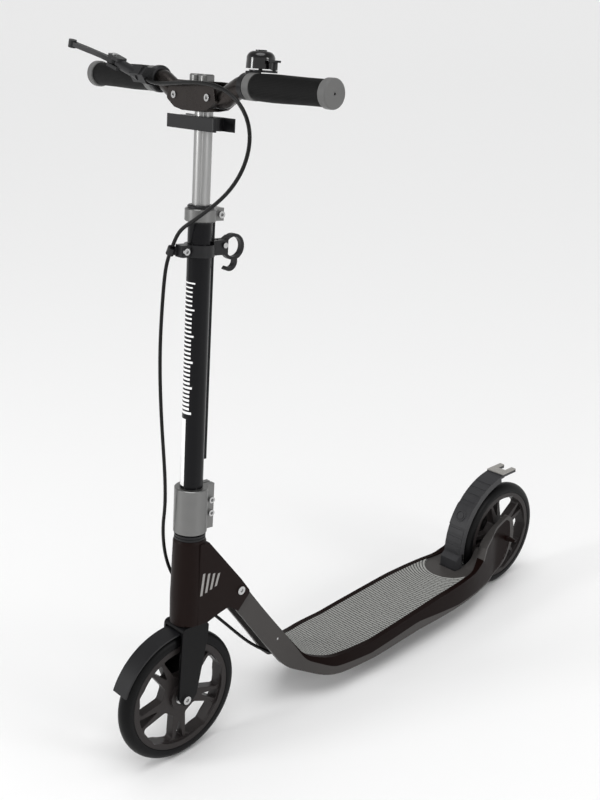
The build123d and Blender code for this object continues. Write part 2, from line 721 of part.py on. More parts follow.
left_grip = grip_half()
finish(left_grip, "left_grip")
finish(mirrored(left_grip), "right_grip")
left_rings = grip_rings()
finish(left_rings, "left_grip_rings")
finish(Compound(children=[mirrored(s) for s in grip_rings().solids()]), "right_grip_rings")

# ---------------------------------------------------------------- bell
BELL_A, BELL_Y, BELL_S = -12.0, 92.0, GRIP_S + 17.2
with BuildPart() as bell_base:
    with BuildSketch(across(86.5)):
        Circle(16.2)
        Circle(BAR_R, mode=Mode.SUBTRACT)
    extrude(amount=8.5)
    with BuildSketch(stem_level(BELL_S, a=BELL_A, y=BELL_Y)):
        Circle(14)
        with Locations((2, 14)):
            RectangleRounded(9, 34, 4)
    extrude(amount=2.6)
    with BuildSketch(stem_level(BELL_S - 10, a=-2, y=90.75)):
        Rectangle(18, 8.5)
    extrude(amount=11)
    with BuildSketch(across(80)):
        Circle(BAR_R)
    extrude(amount=15, mode=Mode.SUBTRACT)
    with BuildSketch(stem_level(BELL_S + 2.6, a=BELL_A, y=BELL_Y)):
        Circle(2.4)
    extrude(amount=14)
    with BuildSketch(stem_level(BELL_S + 2.6, a=BELL_A + 2, y=BELL_Y + 27)):
        Circle(2.2)
    extrude(amount=8)
finish(bell_base.part, "bell_base")

DOME_R, DOME_H = 17.5, 22.0
with BuildPart() as bell_dome:
    with BuildSketch(Plane(origin=stem_point(BELL_A, BELL_Y, BELL_S + 4), x_dir=(0, 1, 0), z_dir=STEM_FORWARD)):
        with BuildLine():
            Polyline((0, DOME_H), (7, DOME_H), (7, DOME_H - 1.2))
            Line((7, DOME_H - 1.2), (9.5, DOME_H - 1.6))
            TangentArc((9.5, DOME_H - 1.6), (DOME_R, 11), tangent=(1, -0.1))
            Polyline((DOME_R, 11), (DOME_R + 0.6, 0), (DOME_R - 1.2, 0), (DOME_R - 1.8, 10), (8.5, DOME_H - 4),
                     (2.5, DOME_H - 4), (2.5, DOME_H - 9), (0, DOME_H - 9), (0, DOME_H))
        make_face()
    revolve(axis=Axis(stem_point(BELL_A, BELL_Y, 0), STEM_UP))
    with BuildSketch(stem_level(BELL_S, a=BELL_A, y=BELL_Y)):
        Circle(2.45)
    extrude(amount=18, mode=Mode.SUBTRACT)
finish(bell_dome.part, "bell_dome")

with BuildPart() as bell_striker:
    # Thumb piece on a post beside the dome.
    with BuildSketch(stem_level(BELL_S + 3.2, a=BELL_A + 2, y=BELL_Y + 27)):
        Circle(4.2)
        Circle(2.25, mode=Mode.SUBTRACT)
    extrude(amount=9)
    with BuildSketch(stem_level(BELL_S + 12.2, a=BELL_A + 2, y=BELL_Y + 27)):
        with BuildLine():
            Polyline((-4, -5), (6, -4), (9, 12), (3, 15), (-3, 5), close=True)
        make_face()
    extrude(amount=2.6)
finish(bell_striker.part, "bell_striker")

# ---------------------------------------------------------------- brake lever set
BARREL_FROM = stem_point(30, -100, GRIP_S + 3)
LEVER_OUT = (Vector(0, -60, 0) + STEM_UP * 16).normalized()
LEVER_UP = STEM_FORWARD.cross(LEVER_OUT * -1)
LEVER_PIVOT = BARREL_FROM + LEVER_OUT * 62
BLADE_HALF = 3.1


def lever_plane(height):
    """Plane of the lever at a height over its middle; sketch axes point forward and inward."""
    return Plane(origin=LEVER_PIVOT + LEVER_UP * height, x_dir=STEM_FORWARD, z_dir=LEVER_UP)


with BuildPart() as brake_perch:
    # Clamp on the bar, plate to the cable barrel and two ears for the lever.
    with BuildSketch(across(-95.2)):
        Circle(17.5)
    extrude(amount=11.2)
    fillet(brake_perch.edges().filter_by(GeomType.CIRCLE), 3)
    with BuildSketch(stem_side(-84.5)):
        with BuildLine():
            Polyline((BAR_A, GRIP_S + 12), (30, GRIP_S + 14), (38, GRIP_S + 4), (30, GRIP_S - 7),
                     (BAR_A, GRIP_S - 12), close=True)
        make_face()
    extrude(amount=10.7)
    with BuildSketch(stem_side(-92)):
        with BuildLine():
            Polyline((24, GRIP_S + 15), (31, GRIP_S + 16), (38, GRIP_S + 5), (30, GRIP_S - 6), (24, GRIP_S - 4),
                     close=True)
        make_face()
    extrude(amount=22)
    barrel = Plane(origin=BARREL_FROM, z_dir=LEVER_OUT)
    with BuildSketch(barrel):
        Circle(7)
    extrude(amount=50)
    for height in (BLADE_HALF + 0.4, -BLADE_HALF - 4.9):
        with BuildSketch(lever_plane(height)):
            with Locations((0, 6)):
                RectangleRounded(16, 28, 5)
        extrude(amount=4.5)
    with BuildSketch(lever_plane(-BLADE_HALF - 6)):
        Circle(2.5)
    extrude(amount=2 * BLADE_HALF + 12, mode=Mode.SUBTRACT)
    with BuildSketch(across(-115)):
        Circle(BAR_R + 0.15)
    extrude(amount=60, mode=Mode.SUBTRACT)
    with BuildSketch(barrel.offset(-22)):
        Circle(CABLE_R + 0.1)
    extrude(amount=30, mode=Mode.SUBTRACT)
print("perch solids", len(brake_perch.part.solids()))
finish(brake_perch.part, "brake_perch")

with BuildPart() as lever_pin:
    with BuildSketch(lever_plane(-BLADE_HALF - 4.9)):
        Circle(2.45)
    extrude(amount=2 * BLADE_HALF + 9.8)
    with BuildSketch(lever_plane(BLADE_HALF + 4.9)):
        Circle(4.2)
    extrude(amount=1.6)
finish(lever_pin.part, "lever_pin")

with BuildPart() as brake_lever:
    # Flat blade that turns on the lever pin and curves forward to a blunt tip.
    with BuildSketch(lever_plane(-BLADE_HALF)):
        Circle(7.2)
        with BuildLine() as blade_line:
            Spline((7, 2), (8, -12), (15, -42), (25, -76), tangents=((0.1, -1), (0.3, -1)))
            Line((25, -76), (18, -79))
            Spline((18, -79), (7.5, -46), (0, -16), (-7, 2), tangents=((-0.35, 1), (-0.3, 1)))
            Line((-7, 2), (7, 2))
        make_face(blade_line.line)
        Circle(2.5, mode=Mode.SUBTRACT)
    extrude(amount=2 * BLADE_HALF)
    with BuildSketch(lever_plane(-BLADE_HALF - 2)):
        with Locations((20.5, -74)):
            Circle(5.5)
    extrude(amount=2 * BLADE_HALF + 4)
print("lever solids", len(brake_lever.part.solids()))
finish(brake_lever.part, "brake_lever")

# ---------------------------------------------------------------- deck frame
NECK_DIR = Vector(-cos(NECK_ANGLE), 0, -sin(NECK_ANGLE))
NECK_OUT = Vector(sin(NECK_ANGLE), 0, -cos(NECK_ANGLE))


def neck_point(along, out):
    """Side sketch point: along the neck from the fold bolt, out towards its front face."""
    point = Vector(PIVOT_X, 0, PIVOT_Z) + NECK_DIR * along + NECK_OUT * out
    return (point.X, point.Z)


# Outline of the side rails: corner points and the radii that round them.
RAIL_CORNERS = [
    (neck_point(-12, -NECK_UP), 6), (neck_point(-12, NECK_DOWN), 6), (neck_point(194, NECK_DOWN), 60),
    ((120, 37), 120), ((20, 34), 150), ((-90, 39), 150), ((-190, 36.5), 150), ((-318, 35), 60),
    ((-376, 50), 45), ((-403, 95), 55), ((-398, 140), 30), ((-380, 151), 10), ((-345, 139.5), 60),
    ((-300, 115), 9), ((-289, 92), 14), ((-262, 82), 50), ((-140, 79.5), 200), ((30, 68), 200),
    ((118, 71.5), 120), (neck_point(199, -NECK_UP), 45),
]
# Lower edge of the side bands, from the neck back round the arm to its tip.
BAND_CORNERS = [
    ((184, 124), 0), ((158, 78), 40), ((110, 52), 50), ((30, 46), 90), ((-90, 56), 120), ((-205, 41), 90),
    ((-318, 38), 50), ((-368, 52), 35), ((-391, 97), 45), ((-387, 136), 8), ((-376, 144), 5), ((-343, 133), 60),
    ((-306, 112), 8), ((-294, 90), 0), ((-284, 100), 0), ((-284, 170), 0), ((150, 170), 0),
]
DECK_FLOOR, DECK_CEILING = 20.0, 280.0


def rounded_face(corners, drop=0.0):
    """Add a closed outline with each corner rounded to its own radius to the open sketch."""
    with BuildLine() as wire:
        FilletPolyline(*[(point[0], point[1] - drop) for point, radius in corners],
                       radius=[radius for point, radius in corners], close=True)
    make_face(wire.line)


def rail_strip(shrink_out, shrink_in):
    """Add the left rail's plan, drawn in from its outer and inner edges, to the open sketch."""
    out, into = -shrink_out, shrink_in
    with BuildLine() as wire:
        neck_out = Line((310, NECK_HALF + out), (244, NECK_HALF + out))
        deck_out = Spline((244, NECK_HALF + out), (180, 32 + out), (126, 54.5 + out), (60, 64 + out),
                          (-60, 64.5 + out), (-200, 60 + out), (-270, 50.5 + out), (-330, 35.5 + out),
                          (-415, 29 + out), tangents=((-1, 0), (-1, -0.02)))
        tail = Line(deck_out @ 1, (-415, 22 + into))
        arm_in = Line(tail @ 1, (-330, 22 + into))
        deck_in = Spline(arm_in @ 1, (-262, 43 + into), (-200, 51 + into), (-60, 55.5 + into), (60, 55 + into),
                         (126, 45.5 + into), (180, 23 + into), (244, 14 + into), tangents=((1, 0), (1, 0)))
        neck_in = Line(deck_in @ 1, (310, 14 + into))
        Line(neck_in @ 1, neck_out @ 0)
    make_face(wire.line)


with BuildPart() as rail_block:
    with BuildSketch(side(80)):
        rounded_face(RAIL_CORNERS)
    extrude(amount=80)
    with BuildSketch(Plane.XY.offset(DECK_FLOOR)):
        rail_strip(0, 0)
    extrude(amount=DECK_CEILING - DECK_FLOOR, mode=Mode.INTERSECT)

SKIN = 2.0
with BuildPart() as rail_core:
    # What stays inside the skin: set in from the outer face and below the top edge.
    with BuildSketch(side(80)):
        rounded_face(RAIL_CORNERS, drop=SKIN)
    extrude(amount=80)
    with BuildSketch(Plane.XY.offset(DECK_FLOOR)):
        rail_strip(SKIN, -4)
    extrude(amount=DECK_CEILING - DECK_FLOOR, mode=Mode.INTERSECT)

with BuildPart() as left_side_band:
    with BuildSketch(side(80)):
        rounded_face(BAND_CORNERS)
    extrude(amount=80)
    add(rail_block.part, mode=Mode.INTERSECT)
    add(rail_core.part, mode=Mode.SUBTRACT)
print("band solids", [round(s.volume) for s in left_side_band.part.solids()])

AXLE_HEAD = 23.8
with BuildPart() as left_rail:
    add(rail_block.part)
    add(left_side_band.part, mode=Mode.SUBTRACT)
    with BuildSketch(side(60)):
        with Locations((-AXLE_X, WHEEL_R)):
            Circle(AXLE_R + 0.02)
    extrude(amount=60, mode=Mode.SUBTRACT)
    with BuildSketch(side(AXLE_HEAD + 3.3)):
        with Locations((-AXLE_X, WHEEL_R)):
            Circle(6.55)
    extrude(amount=3.3, mode=Mode.SUBTRACT)
    with BuildSketch(side(60)):
        with Locations((PIVOT_X, PIVOT_Z)):
            Circle(5.0)
    extrude(amount=60, mode=Mode.SUBTRACT)
    with BuildSketch(side(60)):
        with Locations((204, 130)):
            Circle(2.0)
    extrude(amount=60, mode=Mode.SUBTRACT)
print("rail solids", [round(s.volume) for s in left_rail.part.solids()])
finish(left_rail.part, "left_rail")
finish(left_side_band.part, "left_side_band")
finish(mirrored(left_rail.part), "right_rail")
finish(mirrored(left_side_band.part), "right_side_band")

# Top edge from the fender slot to the top of the neck.
TOP_LINE = [(-246, 81.6), (-140, 79.5), (30, 68), (118, 71.5), neck_point(199, -NECK_UP),
            neck_point(8, -NECK_UP)]
TOP_RADII = [0, 200, 200, 120, 45, 0]


def inset(points, depth):
    """The same line moved down into the deck by depth, square to each run."""
    normals = []
    for (x0, z0), (x1, z1) in zip(points, points[1:]):
        length = hypot(x1 - x0, z1 - z0)
        normals.append(((z1 - z0) / length, -(x1 - x0) / length))
    normals = [normals[0]] + normals + [normals[-1]]
    moved = []
    for (x, z), (ax, az), (bx, bz) in zip(points, normals, normals[1:]):
        share = depth / (1 + ax * bx + az * bz)
        moved.append((x + share * (ax + bx), z + share * (az + bz)))
    return moved


def top_band(points, radii, depth_high, depth_low):
    """Add the band between two depths under the top edge to the open sketch."""
    high = inset(points, depth_high)
    low = inset(points, depth_low)
    rounded_face(list(zip(high, radii)) + list(zip(low[::-1], radii[::-1])))


def between_rails():
    """Add the plan between the two rails to the open sketch."""
    with BuildLine() as wire:
        left = Spline((-330, 22), (-262, 43), (-200, 51), (-60, 55.5), (60, 55), (126, 45.5), (180, 23),
                      (244, 14), tangents=((1, 0), (1, 0)))
        neck = Polyline(left @ 1, (310, 14), (310, -14), (244, -14))
        right = Spline((-330, -22), (-262, -43), (-200, -51), (-60, -55.5), (60, -55), (126, -45.5),
                       (180, -23), (244, -14), tangents=((1, 0), (1, 0)))
        Line(right @ 0, left @ 0)
    make_face(wire.line)


with BuildPart() as rail_gap:
    with BuildSketch(Plane.XY.offset(DECK_FLOOR)):
        between_rails()
    extrude(amount=DECK_CEILING - DECK_FLOOR)

SLOT_HALF, SLOT_X = 19.2, -240.0
CABLE_STOP = (-236.0, 52.0)
with BuildPart() as underside:
    # Walls beside the rear wheel's slot, two long ribs and short cross ribs.
    with BuildSketch(side(60)):
        rounded_face([((-304, 40), 4), ((-304, 107), 1), ((-297, 105), 8), ((-285, 88), 20), ((-262, 80), 20),
                      ((-236, 78), 0), ((-236, 40), 0)])
    extrude(amount=120)
    with BuildSketch(side(27)):
        rounded_face([((-240, 45), 0), ((-240, 75), 0), ((-140, 73), 100), ((30, 62), 100), ((112, 65), 0),
                      ((112, 50), 0), ((60, 45), 60)])
    extrude(amount=4)
    with BuildSketch(side(-23)):
        rounded_face([((-240, 45), 0), ((-240, 75), 0), ((-140, 73), 100), ((30, 62), 100), ((112, 65), 0),
                      ((112, 50), 0), ((60, 45), 60)])
    extrude(amount=4)
    for x in (-200, -140, -80, -20, 40, 96):
        for y in (42, -42):
            with Locations((x, y, 57)):
                Box(3, 32, 16)
    with Locations((-231, 0, 60)):
        Box(12, 48, 30)
    add(rail_gap.part, mode=Mode.INTERSECT)

with BuildPart() as deck_plate:
    with BuildSketch(side(60)):
        top_band(TOP_LINE, TOP_RADII, 2.2, 9.0)
    extrude(amount=120)
    add(rail_gap.part, mode=Mode.INTERSECT)
    add(underside.part)
    with Locations((-300, 0, 80)):
        Box(2 * (SLOT_X + 300), 2 * SLOT_HALF, 100, mode=Mode.SUBTRACT)
    with BuildSketch(side(60)):
        with Locations(FENDER_PIVOT):
            Circle(3.02)
        with Locations(SHOE_PIVOT):
            Circle(2.52)
    extrude(amount=120, mode=Mode.SUBTRACT)
    with BuildSketch(Plane.YZ.offset(CABLE_STOP[0])):
        with Locations((0, CABLE_STOP[1])):
            Circle(CABLE_R + 0.02)
    extrude(amount=20, mode=Mode.SUBTRACT)
    with BuildSketch(Plane.YZ.offset(CABLE_STOP[0])):
        with Locations((0, CABLE_STOP[1])):
            Circle(4.5)
    extrude(amount=-10, mode=Mode.SUBTRACT)
print("deck plate solids", [round(s.volume) for s in deck_plate.part.solids()])
finish(deck_plate.part, "deck_plate")

with BuildPart() as neck_plate:
    with BuildSketch(side(30)):
        rounded_face([(neck_point(16, NECK_DOWN - 9), 0), (neck_point(136, NECK_DOWN - 9), 0),
                      (neck_point(136, NECK_DOWN - 12), 0), (neck_point(16, NECK_DOWN - 12), 0)])
    extrude(amount=60)
    add(rail_gap.part, mode=Mode.INTERSECT)
finish(neck_plate.part, "neck_plate")

MAT_FRONT, MAT_REAR = 172.0, -238.0
with BuildPart() as foot_mat:
    with BuildSketch(side(60)):
        top_band([(MAT_REAR, 81.45), (-140, 79.5), (30, 68), (118, 71.5), neck_point(199, -NECK_UP),
                  neck_point(178, -NECK_UP)], [0, 200, 200, 120, 45, 0], 0.2, 2.2)
    extrude(amount=120)
    add(rail_gap.part, mode=Mode.INTERSECT)
    with Locations((MAT_REAR - 6, 0, 80)):
        Cylinder(46, 40, mode=Mode.SUBTRACT)
print("mat solids", [round(s.volume) for s in foot_mat.part.solids()])
finish(foot_mat.part, "foot_mat")


# ---------------------------------------------------------------- rear axle and pins
with BuildPart() as rear_axle:
    with BuildSketch(side(AXLE_HEAD)):
        with Locations((-AXLE_X, WHEEL_R)):
            Circle(AXLE_R)
    extrude(amount=2 * AXLE_HEAD)
    for y in (AXLE_HEAD + 2.8, -AXLE_HEAD):
        with BuildSketch(side(y)):
            with Locations((-AXLE_X, WHEEL_R)):
                Circle(6.45)
        extrude(amount=2.8)
    for low, high in ((HUB_HALF + 0.3, ARM_IN - 0.05), (-ARM_IN + 0.05, -HUB_HALF - 0.3)):
        with BuildSketch(side(high)):
            with Locations((-AXLE_X, WHEEL_R)):
                Circle(6.0)
        extrude(amount=high - low)
finish(rear_axle.part, "rear_axle")

rear_pins = [pin_across(*FENDER_PIVOT, 3.0, -25.0, 25.0).solids()[0],
             pin_across(*SHOE_PIVOT, 2.5, -24.0, 24.0).solids()[0],
             pin_across(204, 130, 1.95, 17, 24.5).solids()[0],
             pin_across(204, 130, 1.95, -24.5, -17).solids()[0]]
finish(Compound(children=rear_pins), "deck_pins")

# ---------------------------------------------------------------- rear fender brake


def wheel_sector(axle_x, r_in, r_out, low, high):
    """Add a ring sector about an axle, between two angles from forward, to the open sketch."""
    with BuildLine() as wire:
        outer = CenterArc((axle_x, WHEEL_R), r_out, low, high - low)
        inner = CenterArc((axle_x, WHEEL_R), r_in, low, high - low)
        Line(outer @ 0, inner @ 0)
        Line(outer @ 1, inner @ 1)
    make_face(wire.line)


def on_wheel(axle_x, radius, degrees):
    """Side point at a radius from an axle."""
    x, z = polar(radius, degrees)
    return (axle_x + x, WHEEL_R + z)


BOSS_AT = 33.5
with BuildPart() as rear_fender:
    with BuildSketch(side(FENDER_HALF)):
        wheel_sector(-AXLE_X, FENDER_R - 5, FENDER_R, -10, 86)
    extrude(amount=2 * FENDER_HALF)
    with BuildSketch(side(FENDER_HALF)):
        # Root that stands in the deck's slot.
        rounded_face([((-259, 103), 0), (on_wheel(-AXLE_X, FENDER_R - 1, 2), 0), ((-243, 98), 0), ((-243, 62), 8),
                      ((-252, 55.5), 6), ((-259, 60), 4)])
        with Locations(FENDER_PIVOT):
            Circle(7)
    extrude(amount=2 * FENDER_HALF)
    for y in (FENDER_HALF, -FENDER_HALF + 2.5):
        with BuildSketch(side(y)):
            wheel_sector(-AXLE_X, FENDER_R - 12, FENDER_R - 4, 2, 82)
        extrude(amount=2.5)
    for at in (-3, 4, 11, 18, 47, 54, 61, 68):
        # Cross treads, each a low step.
        with BuildSketch(side(FENDER_HALF - 1)):
            wheel_sector(-AXLE_X, FENDER_R - 0.5, FENDER_R + 1.0, at, at + 4.6)
        extrude(amount=2 * FENDER_HALF - 2)
    with BuildSketch(side(FENDER_HALF)):
        wheel_sector(-AXLE_X, FENDER_R - 0.5, FENDER_R + 1.6, 24.5, 43)
    extrude(amount=2 * FENDER_HALF)
    boss_x, boss_z = on_wheel(-AXLE_X, FENDER_R, BOSS_AT)
    boss = Plane(origin=(boss_x, 0, boss_z), x_dir=(0, 1, 0),
                 z_dir=(cos(radians(BOSS_AT)), 0, sin(radians(BOSS_AT))))
    with BuildSketch(boss):
        Circle(10.5)
    extrude(amount=3)
    with BuildSketch(boss.offset(1.8)):
        Circle(8.6)
        Circle(6.2, mode=Mode.SUBTRACT)
    extrude(amount=3, mode=Mode.SUBTRACT)
    # Notched tail.
    with BuildSketch(Plane.XY.offset(229.5)):
        with Locations((-389, 0)):
            Rectangle(40, 2 * FENDER_HALF)
        with Locations((-400, 0)):
            Rectangle(22, 17, mode=Mode.SUBTRACT)
    extrude(amount=5)
    with BuildSketch(side(FENDER_HALF)):
        with Locations(FENDER_PIVOT):
            Circle(3.05)
    extrude(amount=2 * FENDER_HALF, mode=Mode.SUBTRACT)
    with BuildSketch(side(6.5)):
        with Locations(FENDER_PIVOT):
            Circle(5.9)
    extrude(amount=13, mode=Mode.SUBTRACT)
print("fender solids", [round(s.volume) for s in rear_fender.part.solids()])
finish(rear_fender.part, "rear_fender")

with BuildPart() as fender_cap:
    # Bright plate on the tail and on the top tread.
    with BuildSketch(Plane.XY.offset(234.5)):
        with Locations((-389, 0)):
            Rectangle(40, 2 * FENDER_HALF)
        with Locations((-400, 0)):
            Rectangle(22, 17, mode=Mode.SUBTRACT)
    extrude(amount=1.8)
finish(fender_cap.part, "fender_cap")

with BuildPart() as fender_pad:
    # Rubber pad pressed on to the tyre.
    with BuildSketch(side(8)):
        wheel_sector(-AXLE_X, WHEEL_R + 5.5, FENDER_R - 5, 58, 76)
    extrude(amount=16)
finish(fender_pad.part, "fender_pad")

with BuildPart() as fender_spring:
    # Coil round the fender pin that lifts the fender.
    with BuildLine() as coil:
        Helix(pitch=1.7, height=10, radius=4.7, center=(FENDER_PIVOT[0], -5, FENDER_PIVOT[1]), direction=(0, 1, 0))
    with BuildSketch(Plane(origin=coil.line @ 0, z_dir=coil.line % 0)):
        Circle(0.7)
    sweep(path=coil.line, is_frenet=True)
finish(fender_spring.part, "fender_spring")

# ---------------------------------------------------------------- hand brake shoe
ANCHOR = (-261.0, 44.0)
SHOE_HALF = 10.0
with BuildPart() as brake_shoe:
    with BuildSketch(side(SHOE_HALF)):
        wheel_sector(-AXLE_X, WHEEL_R + 5.5, WHEEL_R + 8.5, -22, 4)
    extrude(amount=2 * SHOE_HALF)
    with BuildSketch(side(SHOE_HALF)):
        with Locations(SHOE_PIVOT):
            Circle(4.6)
        rounded_face([(on_wheel(-AXLE_X, WHEEL_R + 8, -15), 0), ((-263, 58), 0), ((-266, 49.6), 0),
                      (on_wheel(-AXLE_X, WHEEL_R + 6, -22), 0)])
        with Locations(SHOE_PIVOT):
            Circle(2.55, mode=Mode.SUBTRACT)
    extrude(amount=2 * SHOE_HALF)
    for y in (6.0, -3.0):
        with BuildSketch(side(y)):
            rounded_face([((-269, 51), 0), ((-262, 53), 0), ((-257.5, 42), 2), ((-264, 40), 2)])
            with Locations(SHOE_PIVOT):
                Circle(2.55, mode=Mode.SUBTRACT)
            with Locations(ANCHOR):
                Circle(1.85, mode=Mode.SUBTRACT)
        extrude(amount=3)
finish(brake_shoe.part, "brake_shoe")

with BuildPart() as brake_lining:
    with BuildSketch(side(SHOE_HALF - 1)):
        wheel_sector(-AXLE_X, WHEEL_R + 3.8, WHEEL_R + 5.5, -20, 3)
    extrude(amount=2 * SHOE_HALF - 2)
finish(brake_lining.part, "brake_lining")

with BuildPart() as brake_wire:
    # Bare wire from the cable's stop, with a barrel end between the shoe's lugs.
    with BuildSketch(side(6)):
        with Locations(ANCHOR):
            Circle(1.8)
    extrude(amount=12)
    wire_start = Vector(CABLE_STOP[0] - 1.0, 0, CABLE_STOP[1])
    wire_end = Vector(ANCHOR[0], 0, ANCHOR[1])
    with BuildSketch(Plane(origin=wire_end, z_dir=wire_start - wire_end)):
        Circle(0.8)
    extrude(amount=(wire_start - wire_end).length)
finish(brake_wire.part, "brake_wire")
print("shoe solids", len(brake_shoe.part.solids()), "wire", len(brake_wire.part.solids()))

# ---------------------------------------------------------------- brake cable


def cable_radii(points):
    """Arc radius at each inner point: tangent lengths take 0.45 of the shorter run."""
    radii = []
    for before, here, after in zip(points, points[1:], points[2:]):
        run_in, run_out = here - before, after - here
        turn = radians(run_in.get_angle(run_out))
        radii.append(0.45 * min(run_in.length, run_out.length) / tan(turn / 2))
    return radii


def cable_piece(points, name):
    """Round cable along straight runs joined by tangent arcs."""
    radii = cable_radii(points)
    with BuildPart() as piece:
        with BuildLine() as path:
            FilletPolyline(*points, radius=radii)
        with BuildSketch(Plane(origin=path.line @ 0, z_dir=path.line % 0)):
            Circle(CABLE_R)
        sweep(path=path.line, transition=Transition.ROUND)
    length = sum(edge.length for edge in path.edges())
    share = piece.part.volume / (pi * CABLE_R ** 2 * length)
    print(name, "length", round(length, 1), "radii", round(min(radii)), "to", round(max(radii)),
          "runs", round(min((b - a).length for a, b in zip(points, points[1:]))), "to",
          round(max((b - a).length for a, b in zip(points, points[1:]))), "volume", round(share, 4))
    finish(piece.part, name)


loop_points = [BARREL_FROM + LEVER_OUT * 7, BARREL_FROM - LEVER_OUT * 36]
loop_points += [Vector(*p) for p in ((331, -8, 977.5), (332.5, 50, 981.5), (331, 98, 971), (329, 127, 938),
                                     (330, 122, 896), (336, 97, 857), (344, 61, 829), (349.5, 27, 808))]
loop_points += [CLIP_MIDDLE + CLIP_AXIS * 32, CLIP_MIDDLE + CLIP_AXIS * CLIP_HALF]
stem_points = [loop_points[-1], CLIP_MIDDLE - CLIP_AXIS * 24, stem_point(37, -29, 492), stem_point(38, -31, 430),
               stem_point(38.5, -27, 368), stem_point(38, -20, 305), stem_point(36, -14, 250)]
head_points = [stem_point(32.5, -16.5, 205), stem_point(29, -26, 163), stem_point(19, -34.5, 118),
               stem_point(2, -36.5, 75), Vector(332, -36, 236), Vector(305, -33, 205), Vector(279, -26, 175),
               Vector(257, -18, 147), Vector(236, -11, 122)]
under_points = [Vector(214, -5, 102), Vector(186, -3, 80.5), Vector(148, -2, 63), Vector(104, 0, 54.5),
                Vector(50, 1.5, 53), Vector(-10, 1, 55.5), Vector(-70, -1, 56), Vector(-130, -1.5, 54),
                Vector(-186, 0, 52), Vector(CABLE_STOP[0], 0, CABLE_STOP[1])]
stem_end = (head_points[0] + head_points[1]) / 2
head_end = (head_points[-1] + under_points[0]) / 2
cable_piece(loop_points, "cable_loop")
cable_piece(stem_points + [head_points[0], stem_end], "cable_stem")
cable_piece([stem_end] + head_points[1:] + [head_end], "cable_head")
cable_piece([head_end] + under_points, "cable_deck")
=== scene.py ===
import json
import math

import bpy
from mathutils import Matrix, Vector
from mathutils.bvhtree import BVHTree


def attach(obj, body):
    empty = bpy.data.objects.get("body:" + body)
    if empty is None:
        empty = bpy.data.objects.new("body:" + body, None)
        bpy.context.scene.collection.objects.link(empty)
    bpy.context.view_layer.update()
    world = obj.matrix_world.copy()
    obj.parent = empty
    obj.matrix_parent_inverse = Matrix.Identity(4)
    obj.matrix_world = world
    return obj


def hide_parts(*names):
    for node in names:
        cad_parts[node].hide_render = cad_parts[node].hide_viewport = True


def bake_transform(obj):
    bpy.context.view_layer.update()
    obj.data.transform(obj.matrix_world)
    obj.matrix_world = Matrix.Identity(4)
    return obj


with open("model.json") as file:
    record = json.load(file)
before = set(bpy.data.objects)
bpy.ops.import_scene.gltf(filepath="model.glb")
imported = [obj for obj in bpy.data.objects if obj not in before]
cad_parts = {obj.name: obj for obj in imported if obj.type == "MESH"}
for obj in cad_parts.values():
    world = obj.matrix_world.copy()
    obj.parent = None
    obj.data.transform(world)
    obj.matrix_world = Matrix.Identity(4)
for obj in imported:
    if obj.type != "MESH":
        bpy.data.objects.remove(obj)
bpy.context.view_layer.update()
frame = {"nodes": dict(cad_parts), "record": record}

MM = 0.001
RAKE = math.radians(4.73)
FOOT_X, FOOT_Z = 361.9, 200.0
UP = Vector((-math.sin(RAKE), 0, math.cos(RAKE)))
AHEAD = Vector((math.cos(RAKE), 0, math.sin(RAKE)))


def stem_point(a, y, s):
    """Point a ahead of the steering axis, y to the left, s up the axis, in metres (inputs in mm)."""
    return (Vector((FOOT_X, y, FOOT_Z)) + AHEAD * a + UP * s) * MM


